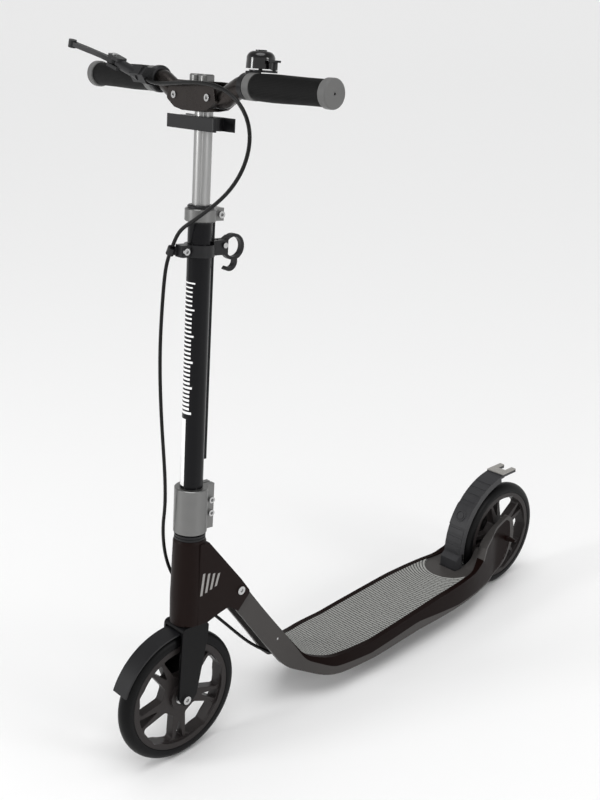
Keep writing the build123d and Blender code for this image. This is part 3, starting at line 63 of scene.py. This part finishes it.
# ------------------------------------------------------------------ materials
def material(name, color, rough, metal=0.0, mottle=0.06, mottle_scale=60.0,
             grain=0.0, grain_scale=900.0, rough_spread=0.06, stretch=(1, 1, 1), edge=0.5, specular=0.5):
    """Painted, moulded or metal surface: slight blotches, uneven gloss, fine grain, worn soft edges."""
    mat = bpy.data.materials.new(name)
    mat.use_nodes = True
    tree = mat.node_tree
    nodes, links = tree.nodes, tree.links
    shader = nodes["Principled BSDF"]
    shader.inputs["Metallic"].default_value = metal
    shader.inputs["Specular IOR Level"].default_value = specular
    coords = nodes.new("ShaderNodeTexCoord")
    mapping = nodes.new("ShaderNodeMapping")
    mapping.inputs["Scale"].default_value = stretch
    links.new(coords.outputs["Object"], mapping.inputs["Vector"])
    blotch = nodes.new("ShaderNodeTexNoise")
    blotch.inputs["Scale"].default_value = mottle_scale
    blotch.inputs["Detail"].default_value = 4
    links.new(mapping.outputs["Vector"], blotch.inputs["Vector"])
    ramp = nodes.new("ShaderNodeMapRange")
    ramp.inputs["To Min"].default_value = 1 - mottle
    ramp.inputs["To Max"].default_value = 1 + mottle
    links.new(blotch.outputs["Fac"], ramp.inputs["Value"])
    tint = nodes.new("ShaderNodeMix")
    tint.data_type = "RGBA"
    tint.blend_type = "MULTIPLY"
    tint.inputs["Factor"].default_value = 1.0
    tint.inputs["A"].default_value = (*color, 1)
    links.new(ramp.outputs["Result"], tint.inputs["B"])
    links.new(tint.outputs["Result"], shader.inputs["Base Color"])
    gloss = nodes.new("ShaderNodeMapRange")
    gloss.inputs["To Min"].default_value = max(rough - rough_spread, 0.03)
    gloss.inputs["To Max"].default_value = min(rough + rough_spread, 1.0)
    links.new(blotch.outputs["Fac"], gloss.inputs["Value"])
    links.new(gloss.outputs["Result"], shader.inputs["Roughness"])
    normal = None
    if edge > 0:
        bevel = nodes.new("ShaderNodeBevel")
        bevel.samples = 4
        bevel.inputs["Radius"].default_value = edge * MM
        normal = bevel.outputs["Normal"]
    if grain > 0:
        fine = nodes.new("ShaderNodeTexNoise")
        fine.inputs["Scale"].default_value = grain_scale
        fine.inputs["Detail"].default_value = 2
        links.new(mapping.outputs["Vector"], fine.inputs["Vector"])
        bump = nodes.new("ShaderNodeBump")
        bump.inputs["Strength"].default_value = grain
        bump.inputs["Distance"].default_value = 0.0002
        links.new(fine.outputs["Fac"], bump.inputs["Height"])
        if normal:
            links.new(normal, bump.inputs["Normal"])
        normal = bump.outputs["Normal"]
    if normal:
        links.new(normal, shader.inputs["Normal"])
    return mat


LOOKS = {
    "graphite": dict(color=(0.058, 0.054, 0.052), rough=0.42, metal=0.3, grain=0.2, edge=0.9, specular=0.2),
    "dark_brown": dict(color=(0.0065, 0.0028, 0.0023), rough=0.36, mottle=0.05, specular=0.045),
    "mat_grey": dict(color=(0.285, 0.287, 0.275), rough=0.8, grain=0.3, mottle=0.1, specular=0.2, edge=0.15),
    "tyre_black": dict(color=(0.0034, 0.0034, 0.0037), rough=0.42, grain=0.3, mottle=0.25, edge=0.4,
                       specular=0.12),
    "core_black": dict(color=(0.024, 0.0205, 0.02), rough=0.4, grain=0.25, mottle=0.12, edge=0.8,
                       specular=0.2),
    "bright_steel": dict(color=(0.5, 0.5, 0.5), rough=0.25, metal=1.0, mottle=0.1, grain=0.15, edge=0.3),
    "head_brown": dict(color=(0.0085, 0.004, 0.0033), rough=0.4, grain=0.25, mottle=0.06, edge=1.2,
                       specular=0.09),
    "black_paint": dict(color=(0.003, 0.003, 0.0034), rough=0.36, grain=0.2, edge=0.8, specular=0.13),
    "stem_black": dict(color=(0.003, 0.003, 0.004), rough=0.24, mottle=0.08, specular=0.17),
    "collar_grey": dict(color=(0.19, 0.19, 0.187), rough=0.34, metal=0.9, grain=0.3, edge=0.6),
    "post_silver": dict(color=(0.33, 0.33, 0.327), rough=0.34, metal=0.85, stretch=(1, 1, 0.05), mottle=0.08,
                        mottle_scale=300, edge=0.3),
    "gunmetal": dict(color=(0.036, 0.031, 0.029), rough=0.28, metal=0.9, mottle=0.08, edge=0.9),
    "grip_black": dict(color=(0.0035, 0.0035, 0.0035), rough=0.5, grain=0.4, mottle=0.15, edge=0.0,
                       specular=0.12),
    "ring_grey": dict(color=(0.13, 0.13, 0.128), rough=0.45, grain=0.25, specular=0.25),
    "plastic_black": dict(color=(0.0075, 0.0075, 0.0085), rough=0.36, grain=0.4, mottle=0.15, edge=0.6,
                          specular=0.3),
    "bell_black": dict(color=(0.003, 0.003, 0.003), rough=0.13, mottle=0.05, specular=0.5),
    "cable_black": dict(color=(0.0045, 0.0045, 0.0045), rough=0.36, mottle=0.15, edge=0.0, specular=0.2),
    "tail_silver": dict(color=(0.33, 0.32, 0.3), rough=0.42, metal=0.4, mottle=0.6, mottle_scale=700,
                        grain=0.5),
}
DECAL = dict(color=(0.97, 0.97, 0.965), rough=0.45, mottle=0.03, edge=0.0, specular=0.3)
FENDER = dict(color=(0.027, 0.027, 0.029), rough=0.38, grain=0.4, mottle=0.2, edge=0.7, specular=0.3)
# Painted shade: a darker grey for the mat's groove floors and ridge walls, standing in for the shade between
# the ridges.
GROOVE_SHADE = dict(color=(0.075, 0.077, 0.075), rough=0.85, mottle=0.1, edge=0.0, specular=0.1)
MARK = dict(color=(0.3, 0.29, 0.28), rough=0.5, mottle=0.05, edge=0.0, specular=0.25)
MATERIALS = {slot: material(slot, **look) for slot, look in LOOKS.items()}
MATERIALS["decal"] = material("decal", **DECAL)
MATERIALS["mark"] = material("mark", **MARK)
MATERIALS["groove_shade"] = material("groove_shade", **GROOVE_SHADE)
MATERIALS["fender"] = material("fender", **FENDER)
SLOT_OF = {row["node"]: row["material_slot"] for row in frame["record"]["subparts"]}
OWN_LOOK = {"rear_fender": "fender", "bar_latch": "collar_grey"}
for node, obj in frame["nodes"].items():
    obj.data.materials.clear()
    obj.data.materials.append(MATERIALS[OWN_LOOK.get(node, SLOT_OF[node])])


# ------------------------------------------------------------------ helpers for pieces
def new_object(name, mesh, mat, body, *replaced):
    """Wrap a mesh as a named piece that rides a body and may stand for CAD nodes."""
    obj = bpy.data.objects.new(name, mesh)
    bpy.context.scene.collection.objects.link(obj)
    mesh.materials.append(MATERIALS[mat])
    for polygon in mesh.polygons:
        polygon.use_smooth = True
    if body:
        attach(obj, body)
    if replaced:
        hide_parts(*replaced)
    return obj


def grid_mesh(name, rows, wrap=False, caps=False):
    """Mesh over rows of points of equal length; wrap closes each row, caps fills the end rows."""
    count = len(rows[0])
    mesh = bpy.data.meshes.new(name)
    verts = [point for row in rows for point in row]
    faces = []
    for i in range(len(rows) - 1):
        for j in range(count if wrap else count - 1):
            k = (j + 1) % count
            faces.append((i * count + j, i * count + k, (i + 1) * count + k, (i + 1) * count + j))
    if caps:
        faces.append(tuple(range(count))[::-1])
        faces.append(tuple(range((len(rows) - 1) * count, len(rows) * count)))
    mesh.from_pydata(verts, [], faces)
    mesh.update()
    return mesh


def smooth_line(points, step=4.0):
    """Points of a cubic B-spline that starts and ends on its end points, evenly sampled (mm)."""
    knots = [Vector(p) for p in points]
    knots = [knots[0] * 2 - knots[1]] + knots + [knots[-1] * 2 - knots[-2]]
    line = []
    for i in range(len(knots) - 3):
        a, b, c, d = knots[i:i + 4]
        parts = max(2, round((c - b).length / step))
        for n in range(parts):
            t = n / parts
            line.append((a * (1 - t) ** 3 + b * (3 * t ** 3 - 6 * t ** 2 + 4)
                         + c * (-3 * t ** 3 + 3 * t ** 2 + 3 * t + 1) + d * t ** 3) / 6)
    line.append(Vector(points[-1]))
    return line


def tube_mesh(name, line, radius, sides=20):
    """Round tube along a line of points, in mm, with closed ends."""
    rows = []
    normal = Vector((0.3, 1, 0.2))
    for i, point in enumerate(line):
        ahead = (line[min(i + 1, len(line) - 1)] - line[max(i - 1, 0)]).normalized()
        normal = (normal - ahead * normal.dot(ahead)).normalized()
        other = ahead.cross(normal)
        turn = [2 * math.pi * k / sides for k in range(sides)]
        rows.append([(point + (normal * math.cos(t) + other * math.sin(t)) * radius) * MM for t in turn])
    return grid_mesh(name, rows, wrap=True, caps=True)


# ------------------------------------------------------------------ foot mat
def rounded_path(corners):
    """Points along corners (x, z, radius), each corner rounded."""
    path = [Vector(corners[0][:2])]
    for before, here, after in zip(corners, corners[1:], corners[2:]):
        a, b, c = Vector(before[:2]), Vector(here[:2]), Vector(after[:2])
        into, out = (b - a).normalized(), (c - b).normalized()
        reach = here[2] * math.tan(into.angle(out) / 2)
        first, last = b - into * reach, b + out * reach
        for n in range(13):
            t = n / 12
            path.append(first * (1 - t) ** 2 + b * 2 * t * (1 - t) + last * t ** 2)
    path.append(Vector(corners[-1][:2]))
    return path


TOP_LINE = rounded_path([(-262, 82, 0), (-140, 79.5, 200), (30, 68, 200), (118, 71.5, 120), (159.3, 86.9, 40),
                         (172.0, 106.2, 0)])
HALF_WIDTH = [(-330, 22), (-262, 43), (-200, 51), (-60, 55.5), (60, 55), (126, 45.5), (180, 23), (244, 14)]
MAT_END = 455.0


def along(table, x):
    """Smooth value from a table of (x, value)."""
    for i in range(len(table) - 1):
        (xa, va), (xb, vb) = table[i], table[i + 1]
        if x <= xb or i == len(table) - 2:
            before = table[max(i - 1, 0)]
            after = table[min(i + 2, len(table) - 1)]
            slope_a = (vb - before[1]) / (xb - before[0])
            slope_b = (after[1] - va) / (after[0] - xa)
            t = min(max((x - xa) / (xb - xa), 0), 1)
            h = xb - xa
            return (va * (2 * t ** 3 - 3 * t ** 2 + 1) + vb * (3 * t ** 2 - 2 * t ** 3)
                    + slope_a * h * (t ** 3 - 2 * t ** 2 + t) + slope_b * h * (t ** 3 - t ** 2))
    return table[-1][1]


TOP_RUN = [0.0]
for p, q in zip(TOP_LINE, TOP_LINE[1:]):
    TOP_RUN.append(TOP_RUN[-1] + (q - p).length)


def on_top(run, depth):
    """Point (x, z) at a run along the deck's top line, sunk by depth."""
    run = min(max(run, 0.0), TOP_RUN[-1] - 1e-6)
    low = 0
    while TOP_RUN[low + 1] < run:
        low += 1
    p, q = TOP_LINE[low], TOP_LINE[low + 1]
    t = (run - TOP_RUN[low]) / max(TOP_RUN[low + 1] - TOP_RUN[low], 1e-9)
    ahead = (q - p).normalized()
    spot = p.lerp(q, t)
    return spot.x + ahead.y * depth, spot.y - ahead.x * depth


REAR_RUN = 58.5      # run of the mat's rear edge at its middle
REAR_LIMIT = 18.4    # run of the mat's rearmost corners
SKIN, UNDER = 0.25, 2.1      # depth of the ridge tops and of the mat's edge under the deck's top line
PITCH, RISE, GAP_HALF, BRICK = 5.0, 1.3, 0.6, 0.36
GAP_SHARE = GAP_HALF / 50 * 1.2      # half a gap as a share of the mat's half width
shares = set()
for brick in range(-4, 5):
    for shift in (0.0, 0.5):
        for edge in (-1.0, -0.45, 0.45, 1.0):
            shares.add(round((brick + shift) * BRICK + edge * GAP_SHARE, 5))
shares |= {-1.0, 1.0} | {round(k / 14, 5) for k in range(-14, 15)}
shares = sorted(v for v in shares if -1 <= v <= 1)


def ridge_gap(share, ridge):
    """True where the ridge is interrupted by its short gap."""
    shift = 0.5 if ridge % 2 else 0.0
    phase = share / BRICK - shift
    return abs(phase - round(phase)) * BRICK < GAP_SHARE * 0.6


def mat_row(distance, depth, ridge=None):
    """One row of the mat: an arc across the deck, wider and flatter towards the front."""
    row = []
    bend = 47.0 + 1.15 * distance + 0.012 * distance ** 2
    for share in shares:
        run = REAR_RUN + distance
        x = on_top(run, 0)[0]
        for _ in range(4):
            half = along(HALF_WIDTH, x) - 0.4
            y = share * half
            back = bend - math.sqrt(max(bend ** 2 - y ** 2, 0.0))
            x = on_top(run - back, 0)[0]
        sunk = depth
        if ridge is not None and ridge_gap(share, ridge):
            sunk = depth + RISE
        x, z = on_top(max(run - back, REAR_LIMIT), sunk)
        row.append((x * MM, y * MM, z * MM))
    return row


mat_rows = [mat_row(0.0, UNDER)]
ridges = int((MAT_END - REAR_RUN) / PITCH)
for ridge in range(ridges):
    start = ridge * PITCH
    mat_rows.append(mat_row(start + 0.1, SKIN + RISE))
    mat_rows.append(mat_row(start + 1.05, SKIN + RISE))
    mat_rows.append(mat_row(start + 1.4, SKIN, ridge))
    mat_rows.append(mat_row(start + 4.7, SKIN, ridge))
mat_rows.append(mat_row(ridges * PITCH, SKIN + RISE))
mat_rows.append(mat_row(ridges * PITCH, UNDER))
mat_mesh = grid_mesh("ribbed_foot_mat", mat_rows)
foot_mat = new_object("ribbed_foot_mat", mat_mesh, "mat_grey", "deck", "foot_mat")
foot_mat.data.materials.append(MATERIALS["groove_shade"])
strip = len(shares) - 1
# Painted shade: groove floors and ridge walls take the darker grey in place of the shade that falls between
# the ridges.
for polygon in foot_mat.data.polygons:
    polygon.use_smooth = False
    low = (polygon.index // strip - 1) % 4 in (0, 1, 3)
    polygon.material_index = 1 if low and polygon.index // strip > 0 else 0


# ------------------------------------------------------------------ painted arms beside the rear wheel
ARM_LOW = [(-391.0, 99), (-388, 86), (-380, 68), (-368, 54), (-350, 45.5), (-318, 40), (-260, 40),
           (-205, 43.5), (-180, 46)]
ARM_HIGH = [(-391.0, 100), (-388, 127), (-381, 138.5), (-372, 140), (-343, 130.5), (-320, 118.5), (-306, 109),
            (-297, 95.5), (-287, 87), (-262, 79.5), (-200, 77.5), (-180, 77)]


def arm_skin(name, way, rail):
    """Paint film on the outer side of a rail, a hair proud of it, with the rail's edge left bare."""
    source = frame["nodes"][rail]
    tree = BVHTree.FromObject(source, bpy.context.evaluated_depsgraph_get())
    inverse = source.matrix_world.inverted()
    rows = []
    for step in range(71):
        x = -391 + step * 3
        low, high = along(ARM_LOW, x), along(ARM_HIGH, x)
        row = []
        for k in range(25):
            z = low + (high - low) * k / 24
            start = inverse @ (Vector((x, way * 120, z)) * MM)
            hit = tree.ray_cast(start, Vector((0, -way, 0)))[0]
            y = (source.matrix_world @ hit).y / MM if hit else way * 46
            row.append(Vector((x, y + way * 0.3, z)) * MM)
        rows.append(row)
    return new_object(name, grid_mesh(name, rows), "dark_brown", "deck")


arm_skin("left_arm_paint", 1, "left_rail")
arm_skin("right_arm_paint", -1, "right_rail")


# ------------------------------------------------------------------ grips
BAR_A, GRIP_S = 5, 779      # the grips' middle line: ahead of the steering axis, and up it
GRIP_PROFILE = [(108, 16.0), (138, 16.5), (165, 16.15), (193, 15.6), (228, 15.4)]


def grip_mesh(name, way):
    """Rubber grip with fine lengthwise ribs between smooth end bands."""
    rows = []
    sides = 56 * 4
    stations = [108, 109] + [109 + k * 3 for k in range(1, 40)] + [227.5, 228]
    for y in stations:
        radius = along(GRIP_PROFILE, y)
        if y in (108, 228):
            radius -= 0.6
        ribbed = 113 < y < 224
        row = []
        for k in range(sides):
            turn = 2 * math.pi * k / sides
            low = 0.5 if (k % 4 == 0 and ribbed) else 0.0
            reach = radius - low
            row.append(stem_point(BAR_A + reach * math.cos(turn), way * y, GRIP_S + reach * math.sin(turn)))
        rows.append(row)
    return grid_mesh(name, rows, wrap=True)


new_object("left_ribbed_grip", grip_mesh("left_ribbed_grip", 1), "grip_black", "left_bar", "left_grip")
new_object("right_ribbed_grip", grip_mesh("right_ribbed_grip", -1), "grip_black", "right_bar", "right_grip")


# ------------------------------------------------------------------ printed marks
PRINT_R = 16.36      # the stem tube's radius and the film on it


def tube_patch(s_low, s_high, from_deg, to_deg):
    """Thin printed patch on the front of the stem tube."""
    rows = []
    for s in (s_low, s_high):
        row = []
        for k in range(13):
            turn = math.radians(from_deg + (to_deg - from_deg) * k / 12)
            row.append(stem_point(PRINT_R * math.cos(turn), PRINT_R * math.sin(turn), s))
        rows.append(row)
    return rows


stripe_verts, stripe_faces = [], []


def add_rows(rows):
    """Add a patch to the stripes' mesh."""
    base = len(stripe_verts)
    width = len(rows[0])
    for row in rows:
        stripe_verts.extend(row)
    for i in range(len(rows) - 1):
        for j in range(width - 1):
            a = base + i * width + j
            stripe_faces.append((a, a + 1, a + 1 + width, a + width))


STRIPE_LOW, STRIPE_HIGH, BLOCK_LOW = 338.0, 524.0, 234.0
stripe = 0
level = STRIPE_HIGH
while level > STRIPE_LOW:
    thick = 2.0 + 1.5 * (STRIPE_HIGH - level) / (STRIPE_HIGH - STRIPE_LOW)
    add_rows(tube_patch(level - thick, level, -32, 26 if stripe % 6 else 38))
    level -= 6.0
    stripe += 1
add_rows(tube_patch(BLOCK_LOW, STRIPE_LOW - 5, -32, 10))
stripes = bpy.data.meshes.new("stem_stripes")
stripes.from_pydata(stripe_verts, [], stripe_faces)
new_object("stem_stripes", stripes, "decal", "steering")

MARK_X, MARK_Z, MARK_Y = 350.0, 283.0, 26.06
mark_verts, mark_faces = [], []
for way in (1, -1):
    for bar in range(4):
        base = len(mark_verts)
        x0 = MARK_X - bar * 9.0
        for dx, z in ((0, MARK_Z - 17 + bar * 2), (4.2, MARK_Z - 17 + bar * 2), (-2.8, MARK_Z + 17 - bar * 3),
                      (-7.0, MARK_Z + 17 - bar * 3)):
            mark_verts.append(((x0 + dx) * MM, way * MARK_Y * MM, z * MM))
        mark_faces.append((base, base + 1, base + 2, base + 3))
marks = bpy.data.meshes.new("head_marks")
marks.from_pydata(mark_verts, [], mark_faces)
new_object("head_marks", marks, "mark", "head")


# ------------------------------------------------------------------ brake cable
def sp(a, y, s):
    """Point in mm from its place on the stem."""
    return stem_point(a, y, s) / MM


barrel_from = sp(30, -100, 782)
lever_out = (Vector((0, -60, 0)) + UP * 16).normalized()
clip_middle = sp(37, -13, 565)
clip_axis = UP * math.cos(math.radians(28)) + Vector((0, math.sin(math.radians(28)), 0))
loop = [barrel_from + lever_out * 7, barrel_from, barrel_from - lever_out * 20, barrel_from - lever_out * 36,
        (331, -8, 977.5), (332.5, 50, 981.5), (331, 98, 971), (329, 127, 938), (330, 122, 896),
        (336, 97, 857), (344, 61, 829), (349.5, 27, 808),
        clip_middle + clip_axis * 32, clip_middle + clip_axis * 5.5]
stem_run = [clip_middle + clip_axis * 5.5, clip_middle, clip_middle - clip_axis * 24, sp(37, -29, 492),
            sp(38, -31, 430), sp(38.5, -27, 368), sp(38, -20, 305), sp(36, -14, 250), sp(32.5, -16.5, 205),
            (sp(32.5, -16.5, 205) + sp(29, -26, 163)) / 2]
head_run = [(sp(32.5, -16.5, 205) + sp(29, -26, 163)) / 2, sp(29, -26, 163), sp(19, -34.5, 118),
            sp(2, -36.5, 75), (332, -36, 236), (305, -33, 205),
            (279, -26, 175), (257, -18, 147), (236, -11, 122),
            (225, -8, 112)]
deck_run = [(225, -8, 112), (214, -5, 102), (186, -3, 80.5), (148, -2, 63), (104, 0, 54.5), (50, 1.5, 53),
            (-10, 1, 55.5), (-70, -1, 56), (-130, -1.5, 54), (-186, 0, 52), (-236, 0, 52)]


def cable(name, line, body, *replaced):
    """One stretch of the brake cable."""
    return new_object(name, tube_mesh(name, line, 2.5), "cable_black", body, *replaced)


def bent(obj):
    """Bake a piece's placement into its mesh, so that it stays unparented in world space."""
    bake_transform(obj)


loop_line = smooth_line(loop)
turn_at = max(range(len(loop_line)), key=lambda i: loop_line[i].y)
bent(cable("cable_upper_loop", loop_line[:turn_at + 1], None, "cable_loop"))
bent(cable("cable_lower_loop", loop_line[turn_at:], None, "cable_loop"))
cable("cable_on_stem", smooth_line(stem_run), "steering", "cable_stem")
head_line = smooth_line(head_run)
pass_at = min(range(len(head_line)), key=lambda i: abs(head_line[i].z - 236))
bent(cable("cable_by_head", head_line[:pass_at + 1], None, "cable_head"))
bent(cable("cable_to_deck", head_line[pass_at:], None, "cable_head"))
cable("cable_under_deck", smooth_line(deck_run), "deck", "cable_deck")


# ------------------------------------------------------------------ floor, light, camera
floor_mat = bpy.data.materials.new("floor")
floor_mat.use_nodes = True
floor_shader = floor_mat.node_tree.nodes["Principled BSDF"]
floor_shader.inputs["Base Color"].default_value = (0.88, 0.88, 0.88, 1)
floor_shader.inputs["Roughness"].default_value = 0.35
floor_shader.inputs["Specular IOR Level"].default_value = 0.35
floor_mesh = bpy.data.meshes.new("floor")
floor_mesh.from_pydata([(-800, -800, 0), (800, -800, 0), (800, 800, 0), (-800, 800, 0)], [], [(0, 1, 2, 3)])
floor = bpy.data.objects.new("floor", floor_mesh)
floor_mesh.materials.append(floor_mat)
bpy.context.scene.collection.objects.link(floor)

world = bpy.data.worlds.new("studio")
bpy.context.scene.world = world
world.use_nodes = True
sky = world.node_tree
place = sky.nodes.new("ShaderNodeTexCoord")
split = sky.nodes.new("ShaderNodeSeparateXYZ")
fade = sky.nodes.new("ShaderNodeMapRange")
fade.interpolation_type = "SMOOTHSTEP"
fade.inputs["From Min"].default_value = 0.05
fade.inputs["From Max"].default_value = 0.6
fade.inputs["To Min"].default_value = 0.9
fade.inputs["To Max"].default_value = 0.38
sky.links.new(place.outputs["Generated"], split.inputs["Vector"])
sky.links.new(split.outputs["Z"], fade.inputs["Value"])
sky.links.new(fade.outputs["Result"], sky.nodes["Background"].inputs["Color"])
bpy.context.scene.view_settings.view_transform = "Standard"


def lamp(name, kind, location, target, power, size):
    """Soft lamp that faces a target; size is an area's side in metres or a sun's spread in degrees."""
    data = bpy.data.lights.new(name, kind)
    data.energy = power
    if kind == "AREA":
        data.shape = "SQUARE"
        data.size = size
    else:
        data.angle = math.radians(size)
    obj = bpy.data.objects.new(name, data)
    obj.location = location
    obj.rotation_euler = (Vector(target) - Vector(location)).to_track_quat("-Z", "Y").to_euler()
    bpy.context.scene.collection.objects.link(obj)


MIDDLE = (0.1, 0, 0.4)
lamp("overhead", "SUN", (0.6, 0.6, 4), MIDDLE, 1.72, 50)
lamp("side", "AREA", (-0.6, 3.2, 1.6), MIDDLE, 24, 0.9)
lamp("front", "AREA", (3.2, -1.2, 1.5), MIDDLE, 32, 0.7)

AZIMUTH, ELEVATION, DISTANCE = math.radians(137.181), math.radians(20.227), 1.653185
AIM = Vector((0.133456, 0, 0.506315))
FOCAL_SHARE = 1093.103 / 800
SENSOR = 36.0
camera_data = bpy.data.cameras.new("camera")
camera_data.sensor_fit = "VERTICAL"
camera_data.sensor_height = SENSOR
camera_data.lens = FOCAL_SHARE * SENSOR
camera = bpy.data.objects.new("camera", camera_data)
away = Vector((math.sin(AZIMUTH) * math.cos(ELEVATION), -math.cos(AZIMUTH) * math.cos(ELEVATION),
               math.sin(ELEVATION)))
camera.location = AIM + away * DISTANCE
camera.rotation_euler = (-away).to_track_quat("-Z", "Y").to_euler()
bpy.context.scene.collection.objects.link(camera)
bpy.context.scene.camera = camera
